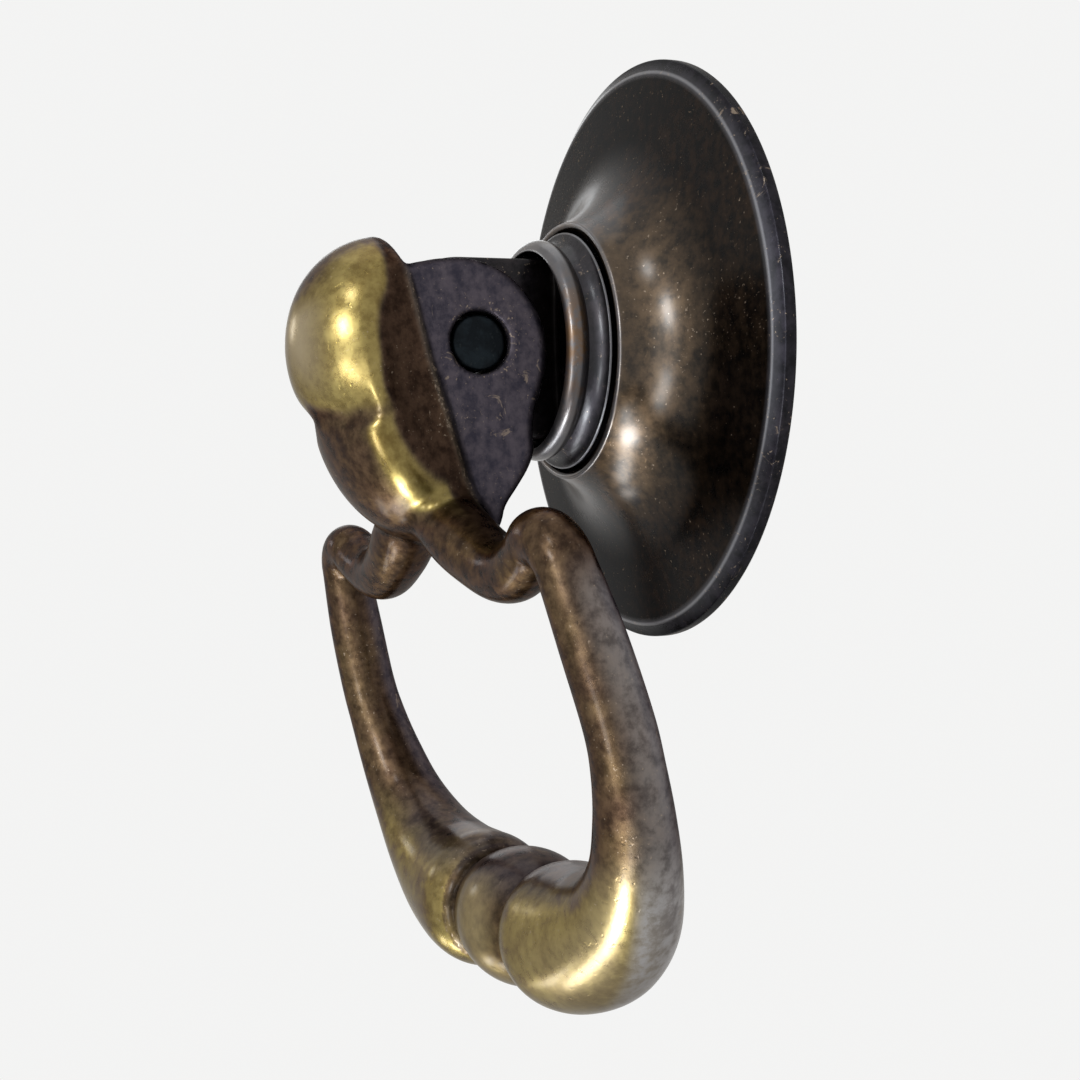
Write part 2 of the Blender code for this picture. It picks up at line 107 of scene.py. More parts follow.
def spline(stations, per_span):
    """Points along a Catmull-Rom curve through the stations, per_span to each span, as one array."""
    p = np.array(stations, float)
    p = np.vstack([2 * p[0] - p[1], p, 2 * p[-1] - p[-2]])
    t = (np.arange(per_span) / per_span)[None, :, None]
    a, b, c, d = (p[k : len(p) - 3 + k, None, :] for k in range(4))
    curve = 0.5 * (2 * b + (c - a) * t + (2 * a - 5 * b + 4 * c - d) * t**2 + (3 * b - a - 3 * c + d) * t**3)
    return np.vstack([curve.reshape(-1, p.shape[1]), p[-2]])


# Bail, right half: centre line (x, w) and radius, from inside the head to the middle of the bar
BAIL_SETBACK = 3.95
BAIL_DROP = 30.7
BAIL_HALF_WIDTH = 18.4
CREST_DROP = 9.75
CREST_BEND = 2.0
CREST_INSET = 3.4
CREST_RADIUS = 1.45
LOBE_RADIUS = 3.85
BEAD_RADIUS = 3.75
BEAD_HALF_WIDTH = 3.84
GROOVE_DEPTH = 1.1
LOBE_END = 2.6
POINTS_PER_SPAN = 60
COARSE_STEP = 12


def bail_line():
    """Centre line of the bail's right half as rows of x, w and radius, without the bead's grooves."""
    crest = -CREST_DROP
    out = BAIL_HALF_WIDTH
    bar = -BAIL_DROP
    leg = [
        (0.7, -7.1, 1.35),
        (2.4, -8.1, 1.68),
        (4.6, -9.45, 1.8),
        (6.7, -10.45, 1.72),
        (9.0, -11.2, 1.63),
        (11.2, -11.2, 1.53),
    ]
    crest_centre = (out - CREST_INSET, crest - CREST_BEND)
    shoulder = []
    for angle in (135, 110, 85, 60, 35, 12):
        a = math.radians(angle)
        bend = (CREST_BEND * math.cos(a), CREST_BEND * math.sin(a))
        shoulder.append((crest_centre[0] + bend[0], crest_centre[1] + bend[1], CREST_RADIUS))
    arm = [
        (out - 0.6, crest - 4.9, 1.6),
        (out, crest - 8.6, 1.65),
        (out - 0.2, crest - 10.8, 1.72),
        (out - 0.95, bar + 7.6, 1.93),
        (out - 2.35, bar + 4.9, 2.25),
        (out - 4.8, bar + 2.45, 2.8),
        (out - 7.9, bar + 0.85, 3.38),
        (out - 11.0, bar + 0.12, 3.78),
    ]
    bead = [
        (BEAD_HALF_WIDTH + 1.2, bar, LOBE_RADIUS),
        (BEAD_HALF_WIDTH, bar, (LOBE_RADIUS + BEAD_RADIUS) / 2),
        (BEAD_HALF_WIDTH / 2, bar, BEAD_RADIUS),
        (0.0, bar, BEAD_RADIUS),
    ]
    return spline([*leg, *shoulder, *arm, *bead], POINTS_PER_SPAN)


LINE = bail_line()
STEP = np.hypot(*np.diff(LINE[:, :2], axis=0).T)
ALONG = np.concatenate([[0.0], np.cumsum(STEP)])
TANGENT = np.gradient(LINE[:, :2], ALONG, axis=0)
TANGENT /= np.linalg.norm(TANGENT, axis=1)[:, None]


def groove_share(x):
    """1 in the bead's groove, falling to 0 at the bead's middle and at the lobe's full radius."""
    off = np.abs(x) - BEAD_HALF_WIDTH
    return np.clip(1.0 - np.where(off < 0, -off / BEAD_HALF_WIDTH, off / LOBE_END), 0.0, 1.0)


def bail(x, u, w):
    """Distance to the bail: to the nearest point of its centre line, less the radius there.

    The nearest of a few coarse points is found first, and then moved along the line to where the line is
    square to the way to the point. Grooves are cut beside the bead: towards the groove the bead falls away
    evenly, by the square of the share, and the lobe's end like an egg's, by 1 - sqrt(1 - share ** 2).
    """
    x = np.abs(x)
    coarse = LINE[::COARSE_STEP, :2]
    best = np.full(x.shape, np.inf)
    place = np.zeros(x.shape)
    for k in range(len(coarse)):
        d = (x - coarse[k, 0]) ** 2 + (w - coarse[k, 1]) ** 2
        closer = d < best
        best[closer] = d[closer]
        place[closer] = ALONG[COARSE_STEP * k]
    for _ in range(4):
        cx = np.interp(place, ALONG, LINE[:, 0])
        cw = np.interp(place, ALONG, LINE[:, 1])
        tx = np.interp(place, ALONG, TANGENT[:, 0])
        tw = np.interp(place, ALONG, TANGENT[:, 1])
        place = np.clip(place + 0.8 * ((x - cx) * tx + (w - cw) * tw), 0.0, ALONG[-1])
    cx = np.interp(place, ALONG, LINE[:, 0])
    cw = np.interp(place, ALONG, LINE[:, 1])
    radius = np.interp(place, ALONG, LINE[:, 2])
    share = groove_share(cx)
    fall = np.where(cx < BEAD_HALF_WIDTH, share**2, 1.0 - np.sqrt(np.maximum(1.0 - share**2, 0.0)))
    radius = radius - np.where(cw < -BAIL_DROP + 1.5, GROOVE_DEPTH * fall, 0.0)
    return np.sqrt((x - cx) ** 2 + (u + BAIL_SETBACK) ** 2 + (w - cw) ** 2) - radius


# Ears: outline behind the head as (u, w), closed inside it
EAR_STATIONS = [
    (-2.2, 4.75),
    (-0.8, 4.66),
    (0.9, 4.25),
    (2.45, 3.2),
    (3.42, 1.7),
    (3.8, 0.0),
    (3.6, -1.6),
    (2.9, -3.0),
    (2.15, -4.2),
    (1.75, -5.3),
    (1.55, -6.2),
    (1.0, -7.0),
    (0.15, -7.8),
    (-0.75, -8.6),
    (-1.4, -9.6),
    (-2.6, -10.4),
]
EAR_ROUND = 0.55
EAR_FRONT = -5.0


def outline_distance(u, w, outline):
    """Signed distance in the plane to a closed outline: to its nearest edge, negative inside by winding."""
    best = np.full(u.shape, np.inf)
    inside = np.zeros(u.shape, bool)
    for a, b in zip(outline, np.roll(outline, -1, axis=0)):
        e = b - a
        pu, pw = u - a[0], w - a[1]
        t = np.clip((pu * e[0] + pw * e[1]) / (e @ e), 0.0, 1.0)
        best = np.minimum(best, (pu - t * e[0]) ** 2 + (pw - t * e[1]) ** 2)
        crosses = (a[1] > w) != (b[1] > w)
        if e[1] != 0:
            inside ^= crosses & (u < a[0] + e[0] * (w - a[1]) / e[1])
    return np.where(inside, -1.0, 1.0) * np.sqrt(best)


def ears(x, u, w):
    """Distance to the ears' plate: the outline carried from side to side, its outer edges rounded."""
    curve = spline(EAR_STATIONS, 6)
    outline = np.vstack([[(EAR_FRONT, EAR_STATIONS[0][1])], curve, [(EAR_FRONT, -9.0)]])
    side = outline_distance(u, w, outline) + EAR_ROUND
    face = np.abs(x) - EARS_WIDTH / 2 + EAR_ROUND
    corner = np.hypot(np.maximum(side, 0.0), np.maximum(face, 0.0))
    return corner + np.minimum(np.maximum(side, face), 0.0) - EAR_ROUND


# Shield head: two lobes, cut by the side band that falls back to the ridge on the ear's face
UPPER_CENTRE = (0.0, -3.65, 0.68)
UPPER_AXES = (5.45, 5.43, 6.16)
LOWER_CENTRE = (0.0, -3.74, -2.6)
LOWER_AXES = (6.52, 4.62, 6.81)
RIDGE_X = 4.24
BAND_SLOPE = 0.24
BAND_HOLLOW = 0.16
BAND_DEPTH = 3.4
BAND_FLARE = 0.2
BAND_EDGE_ROUND = 0.5
LOWER_EDGE_ROUND = 1.4
WAIST_DEPTH = 0.4
WAIST_WIDTH = 0.5


def ridge_line(w):
    """How far back the ridge lies at each level: nearly straight, leaning back towards the leg below."""
    return -2.95 + 0.05 * np.clip(-w, 0.0, 6.0) + 0.12 * np.clip(-w - 6.5, 0.0, 4.0)


def waist_height(x, w):
    """Height above the crease round the waist, which lies lower at the sides."""
    return w + 1.5 + 0.3 * np.minimum(np.abs(x), 2.5)


def head_lobes(x, u, w):
    """Distance to the two lobes, with the crease round the waist that deepens towards the sides."""
    upper = ellipsoid(x, u, w, UPPER_CENTRE, UPPER_AXES)
    lower = ellipsoid(x, u, w, LOWER_CENTRE, LOWER_AXES)
    above = waist_height(x, w)
    width = np.where(above > 0, 2.0 * WAIST_WIDTH, WAIST_WIDTH)
    crease = WAIST_DEPTH * np.exp(-((above / width) ** 2)) * (0.4 + 0.6 * ramp(np.abs(x), 0.0, 3.5))
    return smooth_min(upper, lower, LOBE_BLEND) + crease


def shield(x, u, w):
    """Distance to the shield head: two lobes blended, cut back by the hollow side band and the flat back.

    The band's face lies RIDGE_X out at the ridge and slopes outwards ahead of it; a sine over its depth
    hollows it, and it stands a little further out at the lower lobe, where its edge is also rounder.
    """
    ridge = ridge_line(w)
    ahead = ridge - u
    hollow = BAND_HOLLOW * np.sin(np.pi * np.clip(ahead / BAND_DEPTH, 0.0, 1.0))
    band = np.abs(x) - RIDGE_X - BAND_FLARE * ramp(-w, 2.5, 6.0) - BAND_SLOPE * ahead + hollow
    edge_round = BAND_EDGE_ROUND + (LOWER_EDGE_ROUND - BAND_EDGE_ROUND) * ramp(-w, 1.6, 3.6)
    body = smooth_max(head_lobes(x, u, w), band * 0.96, edge_round)
    return smooth_max(body, -ahead, RIDGE_BLEND)


SLOT_RADIUS = TONGUE_HALF_HEIGHT + CLEARANCE
SLOT_HALF_WIDTH = TONGUE_THICKNESS / 2 + CLEARANCE
SLOT_DROP = 3.0 * SLOT_RADIUS
HEAD_BACK = 2.6


def slot(x, u, w):
    """Distance to the slot for the tongue: a round pocket about the pin, open behind the head's back.

    The opening ends well above the bead. At the full lift the tongue's upper edge lies along a line from the
    pocket to the opening, which bounds the slot there.
    """
    pocket = np.hypot(u, w) - SLOT_RADIUS
    opening = np.maximum(-HEAD_BACK - u, -w - SLOT_DROP)
    c, s = math.cos(FULL_LIFT), math.sin(FULL_LIFT)
    lifted = np.maximum(w * c - u * s - SLOT_RADIUS, -(u * c + w * s))
    return np.maximum(np.minimum(np.minimum(pocket, opening), lifted), np.abs(x) - SLOT_HALF_WIDTH)


def pin_hole(x, u, w):
    """Distance to the pin's hole through both ears."""
    return np.hypot(u, w) - PIN_HOLE_RADIUS


def casting(x, u, w):
    """Field of the whole casting: negative inside, zero on its surface."""
    body = smooth_min(shield(x, u, w), ears(x, u, w), EAR_BLEND)
    body = smooth_min(body, bail(x, u, w), LEG_BLEND)
    body = smooth_max(body, -slot(x, u, w), SLOT_EDGE_ROUND)
    return smooth_max(body, -pin_hole(x, u, w), HOLE_EDGE_ROUND)


# Corners of the box that the casting's field is worked out in
LOW = np.array([-20.6, -9.8, -35.2])
HIGH = np.array([20.6, 4.6, 8.0])


def field_on_grid(field, low, high):
    """A field on a fine grid, worked out only near the surface that a coarse grid finds."""
    size = CELL * COARSE_CELLS
    blocks = np.ceil((high - low) / size).astype(int)
    middle = [low[a] + size * (np.arange(blocks[a]) + 0.5) for a in range(3)]
    rough = field(*np.meshgrid(*middle, indexing="ij"))
    near = np.abs(rough) < 1.4 * size
    fine = np.where(rough > 0, 1.0, -1.0)
    for axis in range(3):
        near = np.repeat(near, COARSE_CELLS, axis=axis)
        fine = np.repeat(fine, COARSE_CELLS, axis=axis)
    at = np.argwhere(near)
    points = low + CELL * (at + 0.5)
    fine[near] = field(*points.T)
    return fine


def surface_nets(values, low):
    """Quads through the cells that a field's zero crosses.

    Each crossed cell has one vertex, at the mean of the crossings of its edges, and each crossed edge one
    quad, through the four cells round it.
    """
    inside = values < 0
    corner = np.array([(i, j, k) for i in (0, 1) for j in (0, 1) for k in (0, 1)])
    shape = np.array(values.shape) - 1

    def shifted(array, offset):
        return array[tuple(slice(o, o + s) for o, s in zip(offset, shape))]

    count = sum(shifted(inside, c).astype(int) for c in corner)
    active = (count > 0) & (count < 8)
    cells = np.argwhere(active)
    index = np.full(active.shape, -1)
    index[active] = np.arange(len(cells))
    value = np.stack([values[tuple((cells + c).T)] for c in corner], axis=1)
    total = np.zeros((len(cells), 3))
    hits = np.zeros(len(cells))
    for a in range(8):
        for b in range(a + 1, 8):
            if np.abs(corner[a] - corner[b]).sum() != 1:
                continue
            crossed = (value[:, a] < 0) != (value[:, b] < 0)
            t = np.where(crossed, value[:, a] / np.where(crossed, value[:, a] - value[:, b], 1.0), 0.0)
            point = corner[a] + t[:, None] * (corner[b] - corner[a])
            total += point * crossed[:, None]
            hits += crossed
    vertices = low + CELL * (cells + 0.5 + total / hits[:, None])
    quads = []
    for axis in range(3):
        one, two = (axis + 1) % 3, (axis + 2) % 3
        step = np.eye(3, dtype=int)
        edges = shape - 1 + step[axis]
        start = np.argwhere(np.ones(tuple(edges), bool)) + 1 - step[axis]
        here = inside[tuple(start.T)]
        change = here != inside[tuple((start + step[axis]).T)]
        start, here = start[change], here[change]
        round_edge = (step[one] + step[two], step[two], 0 * step[0], step[one])
        quad = np.stack([index[tuple((start - o).T)] for o in round_edge], axis=1)
        quads.append(np.where(here[:, None], quad, quad[:, ::-1]))
    return vertices, np.vstack(quads)


def slope_of(field, points, gap=0.02):
    """Gradient of a field at points, by central differences."""
    columns = []
    for axis in range(3):
        step = np.zeros(3)
        step[axis] = gap
        columns.append((field(*(points + step).T) - field(*(points - step).T)) / (2 * gap))
    return np.stack(columns, axis=1)


def settle(field, points, rounds=3):
    """Points moved down a field's gradient onto its zero surface."""
    for _ in range(rounds):
        gradient = slope_of(field, points)
        move = field(*points.T)[:, None] * gradient / np.maximum((gradient**2).sum(1), 0.2)[:, None]
        length = np.linalg.norm(move, axis=1)[:, None]
        points = points - move * np.minimum(1.0, 0.12 / np.maximum(length, 1e-9))
    return points


def to_model(points):
    """Points of the handle's own frame, in millimetres, placed in the model's frame, in metres."""
    c, s = math.cos(REST_TILT), math.sin(REST_TILT)
    x, u, w = points.T
    return np.stack([x, c * u - s * w, s * u + c * w], axis=1) * MM + PIN_PLACE * MM


def mesh_object(name, vertices, faces):
    """A smooth-shaded mesh object of these vertices, in metres, and faces of four or three corners."""
    mesh = bpy.data.meshes.new(name)
    mesh.from_pydata(vertices.tolist(), [], faces.tolist())
    mesh.shade_smooth()
    obj = bpy.data.objects.new(name, mesh)
    bpy.context.scene.collection.objects.link(obj)
    return obj


def point_attribute(obj, name, values):
    """One number for each vertex, which the materials read."""
    attribute = obj.data.attributes.new(name, "FLOAT", "POINT")
    attribute.data.foreach_set("value", values.astype(np.float32))


def make_casting():
    """The cast handle: one surface drawn through the casting's field."""
    vertices, quads = surface_nets(field_on_grid(casting, LOW, HIGH), LOW)
    vertices = settle(casting, vertices)
    obj = mesh_object("cast_handle", to_model(vertices), quads)
    for label, values in casting_wear(vertices).items():
        point_attribute(obj, label, values)
    return obj


# Wear of the casting

# Levels on the head, and how far back its gold ends at each
GOLD_END = ([-3.0, 0.5, 2.9, 4.5, 6.1, 7.0], [-4.0, -5.6, -4.75, -4.3, -3.75, -3.4])
# How far from the surface the tests for edges and for hollows reach; the hollows are painted in shade
EDGE_REACH = 0.5
HOLLOW_REACH = 1.6


def bell_curve(value, width):
    """1 where the value is 0, falling off evenly within a few widths of it."""
    return np.exp(-((value / width) ** 2))


def head_wear(x, u, w, normal):
    """Gold and the painted pale reflection on the shield head, the share that is polished at all and the
    head's own extent.

    Gold lies in front of the side band: on the upper lobe it grows towards the sides and is thinned along the
    crease at the waist, which paints shade there, and the face above the waist is painted pale as a
    reflection.
    The lower lobe's face stays brown.
    """
    front, top = -normal[:, 1], normal[:, 2]
    ahead = ridge_line(w) - u
    head = ramp(w, -9.0, -8.0) * ramp(ahead, 0.2, 0.6)
    lower = ramp(-w, 1.6, 3.6)
    level = waist_height(x, w)
    gold_end = np.interp(w, *GOLD_END)
    polished = 1.0 - ramp(-head_lobes(x, u, w), 0.1 + 0.3 * lower, 0.45 + 0.45 * lower)
    polished = polished * (1.0 - ramp(u, gold_end - 0.15, gold_end + 0.35))
    sides = ramp(np.abs(normal[:, 0]), 0.2 + 0.2 * lower, 0.7)
    face_gold = 0.55 * ramp(level, 0.1, 1.0) * (1.0 - 0.8 * ramp(top, 0.4, 0.7)) + 0.2
    # Painted shade: the gold is thinned along the crease round the waist.
    gold = polished * (face_gold + (0.9 - face_gold) * sides) * (1.0 - 0.55 * bell_curve(level, 0.5))
    # Painted reflection: the upper face, turned forwards, is painted pale.
    pale = ramp(level, 0.6, 4.2) * (1.0 - sides) * ramp(front, 0.5, 0.8) * (1.0 - ramp(top, 0.35, 0.6))
    return head, head * gold, head * pale, polished


def bail_wear(x, w, normal):
    """Gold, painted pale highlights, a painted ash-grey reflection over grey patina and violet patina on the
    bail, and how far the flanks of its bead stay dark.

    Low down, gold lies on what faces forwards and down. On the arms the ash lies on what faces straight out,
    on the lobes on all that turns back from the front: a painted grey reflection over grey patina. The pale
    is painted highlight on the lobes' outer faces and undersides and on the bead's front.
    """
    out, front, top = normal[:, 0] * np.sign(x), -normal[:, 1], normal[:, 2]
    low = ramp(-w, 23.5, 28.0)
    flank = ramp(groove_share(x), 0.35, 0.85) * (np.abs(x) < BEAD_HALF_WIDTH + 0.5) * low
    off_bead = ramp(np.abs(x), BEAD_HALF_WIDTH + 0.3, BEAD_HALF_WIDTH + 2.0)
    on_bead = low * ramp(-np.abs(x), -BEAD_HALF_WIDTH - 0.3, -BEAD_HALF_WIDTH + 0.3)
    touched = (1.0 - 0.75 * flank) * (1.0 - 0.4 * on_bead) * (1.0 - 0.4 * off_bead * ramp(-out, 0.0, 0.7))
    gold = 0.1 + 0.08 * front + low * touched * (0.12 + 0.44 * ramp(front - 0.5 * top, -0.2, 0.72))

    # Painted reflection: ash-grey on what faces out and turns back, over grey patina
    faces_out = ramp(out, 0.5, 0.9) * ramp(-front, -0.7, 0.1)
    turns_back = ramp(0.39 * out - 0.92 * front, -0.25, 0.1) * (1.0 - ramp(top, 0.3, 0.7))
    turns_back = turns_back * (0.25 + 0.75 * ramp(out, -0.1, 0.35))
    ash = (faces_out * (1.0 - low) + turns_back * off_bead * low) * (0.36 + 0.64 * low)

    # Painted highlights: pale on the outer faces, the undersides and the bead's front
    outer_face = off_bead * ramp(out, -0.1, 0.3) * (1.0 - ramp(out, 0.5, 0.8))
    underside = (1.0 - flank) * ramp(-top, 0.45, 0.85)
    bead_front = on_bead * (1.0 - flank) * ramp(front - 0.3 * top, 0.1, 0.8)
    pale = np.maximum(0.35 * low * np.maximum(outer_face, underside), 0.3 * bead_front)
    cool = np.maximum(0.8 * ramp(-front, 0.1, 0.6), 0.7 * ramp(top, 0.5, 0.9) * low)
    return gold, pale, ash, cool, flank


def casting_wear(points):
    """What the finish reads at each point, from 0 to 1.

    rub is gold polished by hands, pale a painted reflection and highlight with a little wear on the ridge,
    ash a painted grey reflection over grey patina on the outer sides, edge the sharp edges, hollow the
    painted shade in hollows and creases over dark patina, and cool the violet-grey patina.
    """
    x, u, w = points.T
    gradient = slope_of(casting, points)
    normal = gradient / np.linalg.norm(gradient, axis=1)[:, None]
    # The field's sum on both sides of the surface is positive at an edge and negative in a hollow.
    bend = casting(*(points + EDGE_REACH * normal).T) + casting(*(points - EDGE_REACH * normal).T)
    edge = np.clip(1.1 * bend / EDGE_REACH, 0.0, 0.8)
    # Painted shade: where the field stays low a little way out along the normal, the point lies in a hollow
    # and is painted dark.
    far = casting(*(points + HOLLOW_REACH * normal).T) / HOLLOW_REACH
    hollow = np.clip(1.1 - far, 0.0, 1.0) ** 1.4

    head, head_gold, head_pale, polished = head_wear(x, u, w, normal)
    bail_gold, bail_pale, ash, cool, flank = bail_wear(x, w, normal)
    ahead = ridge_line(w) - u
    cheek = (1.0 - ramp(ahead, -0.1, 0.35)) * ramp(w, -10.4, -9.6)
    arm = (1.0 - head) * (1.0 - cheek) * ramp(-w, 10.0, 13.0)
    rub = (head * head_gold + (1.0 - head) * bail_gold) * (1.0 - cheek)

    # Painted shade: dark lines in the bead's grooves and round the roots of the legs, a painted shadow at the
    # foot of the ridge, painted shade on the ears' turning border, and darker patina on the unpolished head
    # and the bead's flanks
    groove = bell_curve(np.abs(x) - BEAD_HALF_WIDTH, 0.3) * ramp(-w, 25.5, 26.5)
    root = np.exp(-(shield(x, u, w) ** 2 + bail(x, u, w) ** 2) / 0.35**2)
    behind = ramp(np.abs(x), 3.7, 4.0) * ramp(w, -9.8, -9.0)
    foot = bell_curve(ahead + 0.22, 0.13) * behind * ramp(-w, -1.0, 3.0)
    border = cheek * (1.0 - ramp(np.abs(normal[:, 0]), 0.7, 0.97))
    unpolished = head * (1.0 - polished)
    dark = (0.35 * unpolished, 0.35 * flank, 0.6 * border, 0.9 * groove, 0.8 * root, 0.75 * foot)
    for line in dark:
        hollow = np.maximum(hollow, line)

    # The ridge itself is worn.
    crest = bell_curve(ahead - 0.1, 0.16) * behind * ramp(-w, -5.5, -3.0)
    return {
        "rub": rub,
        "pale": np.maximum(np.maximum(head_pale, bail_pale), 0.2 * crest),
        "ash": arm * ash,
        "edge": np.maximum(edge, crest),
        "hollow": np.clip(hollow, 0.0, 1.0),
        "cool": np.maximum(cheek, arm * cool),
    }


# Rosette, collar and post: radii, and heights in front of the drawer front
PLATE_RADIUS = 16.0
PLATE_EDGE_HEIGHT = 0.68
BEVEL_RADIUS = 15.3
BEVEL_HEIGHT = 1.1
FLANGE_INNER_RADIUS = 11.8
FLANGE_INNER_THICKNESS = 1.65
BELL_RADIUS = 7.03
BELL_HEIGHT = 5.36
BELL_LIP = 0.4
SEAT_RADIUS = 6.63
SEAT_HEIGHT = 4.61
SHANK_RADIUS = 3.0
BORE_RADIUS = SHANK_RADIUS + CLEARANCE
FOOT_RADIUS = 6.33
EDGE_RADIUS = 6.47
EDGE_HEIGHT = 5.56
HOLLOW_RADIUS = 5.58
HOLLOW_HEIGHT = 6.38
BEAD_SWELL = 0.6
BEAD_HALF_LENGTH = 0.63
LIP_HEIGHT = 7.63
RECESS_RADIUS = 5.41
RECESS_FLOOR = 5.73
SHOULDER_RADIUS = 5.1
SHOULDER_THICKNESS = 0.45
SHOULDER_BASE = RECESS_FLOOR + CLEARANCE
TAPPED_HOLE_RADIUS = 1.75
TAPPED_HOLE_END = 5.58
THREAD_PITCH = 0.7
THREAD_DEPTH = 0.3
POST_ROUND = 0.28
PIN_STANDOFF = -PIN_PLACE[1]
TURNED_STEPS = 288
PIN_STEPS = 96


def bezier(p0, p1, p2, p3, steps):
    """Points on a cubic Bezier segment, both ends included."""
    t = np.linspace(0.0, 1.0, steps + 1)[:, None]
    p0, p1, p2, p3 = (np.array(p, float) for p in (p0, p1, p2, p3))
    return (1 - t) ** 3 * p0 + 3 * t * (1 - t) ** 2 * p1 + 3 * t * t * (1 - t) * p2 + t**3 * p3


def arc(centre, radius, start, end, steps):
    """Points on an arc from angle start to angle end, in degrees, both ends included."""
    a = np.radians(np.linspace(start, end, steps + 1))
    return np.stack([centre[0] + radius * np.cos(a), centre[1] + radius * np.sin(a)], axis=1)


def straight(start, end, steps):
    """Points along a straight stretch, without its two ends."""
    t = (np.arange(1, steps) / steps)[:, None]
    return np.array(start, float) + t * (np.array(end, float) - np.array(start, float))


def turned(name, profile, steps=TURNED_STEPS):
    """A closed profile of (radius, stand-off) points, in mm, carried round the rosette's axis."""
    profile = np.asarray(profile)
    turn = np.arange(steps) * 2 * math.pi / steps
    radius, standoff = profile.T
    x = radius[:, None] * np.cos(turn)
    z = radius[:, None] * np.sin(turn)
    y = np.broadcast_to(-standoff[:, None], x.shape)
    vertices = np.stack([x, y, z], axis=2).reshape(-1, 3) * MM
    row = np.arange(len(profile))[:, None] * steps
    after = np.roll(row, -1, axis=0)
    k = np.arange(steps)
    ahead = (k + 1) % steps
    quads = np.stack([row + k, row + ahead, after + ahead, after + k], axis=2).reshape(-1, 4)
    return mesh_object(name, vertices, quads[:, ::-1])


def make_backplate():
    """Rosette: thin flange with a rounded rim, belled middle with a sharp lip round the collar's seat."""
    width = FLANGE_INNER_RADIUS - BELL_RADIUS
    bell = bezier(
        (BELL_RADIUS, BELL_HEIGHT),
        (BELL_RADIUS + 0.18 * width, 0.58 * BELL_HEIGHT),
        (BELL_RADIUS + 0.62 * width, 1.2 * FLANGE_INNER_THICKNESS),
        (FLANGE_INNER_RADIUS, FLANGE_INNER_THICKNESS),
        40,
    )
    # A shallow bevel runs round the face, its corner softly worn.
    corner = bezier(
        (BEVEL_RADIUS - 0.12, BEVEL_HEIGHT + 0.02),
        (BEVEL_RADIUS, BEVEL_HEIGHT),
        (BEVEL_RADIUS, BEVEL_HEIGHT),
        (BEVEL_RADIUS + 0.12, BEVEL_HEIGHT - 0.07),
        10,
    )
    shoulder = bezier(
        (PLATE_RADIUS - 0.14, PLATE_EDGE_HEIGHT + 0.08),
        (PLATE_RADIUS, PLATE_EDGE_HEIGHT),
        (PLATE_RADIUS, PLATE_EDGE_HEIGHT),
        (PLATE_RADIUS, PLATE_EDGE_HEIGHT - 0.14),
        10,
    )
    back_edge = arc((PLATE_RADIUS - 0.25, 0.25), 0.25, 0, -90, 5)
    profile = np.vstack(
        [
            bell,
            straight(bell[-1], corner[0], 14),
            corner,
            shoulder,
            back_edge,
            straight(back_edge[-1], (BORE_RADIUS, 0.0), 24),
            [(BORE_RADIUS, 0.0), (BORE_RADIUS, SEAT_HEIGHT)],
            straight((BORE_RADIUS, SEAT_HEIGHT), (SEAT_RADIUS, SEAT_HEIGHT), 6),
            [(SEAT_RADIUS, SEAT_HEIGHT), (SEAT_RADIUS, BELL_HEIGHT - BELL_LIP / 4)],
            arc((BELL_RADIUS - 0.12, BELL_HEIGHT - 0.1), 0.1, 100, 40, 3),
        ]
    )
    return turned("rosette", profile)


def make_collar():
    """Collar: sharp rear edge, hollow, half-round bead that rolls over into the recess round the post."""
    t = np.radians(np.linspace(90, -78, 40))
    bead = np.column_stack(
        [
            RECESS_RADIUS + 0.02 + BEAD_SWELL * np.cos(t),
            LIP_HEIGHT - BEAD_HALF_LENGTH * (1.0 - np.sin(t)),
        ]
    )
    hollow = bezier(
        tuple(bead[-1]),
        (HOLLOW_RADIUS + 0.13, (HOLLOW_HEIGHT + EDGE_HEIGHT) / 2),
        ((HOLLOW_RADIUS + EDGE_RADIUS) / 2, EDGE_HEIGHT + 0.03),
        (EDGE_RADIUS, EDGE_HEIGHT),
        16,
    )
    base = SEAT_HEIGHT + CLEARANCE
    profile = np.vstack(
        [
            bead,
            hollow[1:],
            arc((EDGE_RADIUS - 0.05, EDGE_HEIGHT - 0.07), 0.07, 60, -60, 4),
            [(FOOT_RADIUS, EDGE_HEIGHT - 0.2), (FOOT_RADIUS, base)],
            [(BORE_RADIUS, base), (BORE_RADIUS, RECESS_FLOOR), (RECESS_RADIUS, RECESS_FLOOR)],
            [(RECESS_RADIUS, LIP_HEIGHT - 0.05)],
        ]
    )
    return turned("collar_ring", profile)


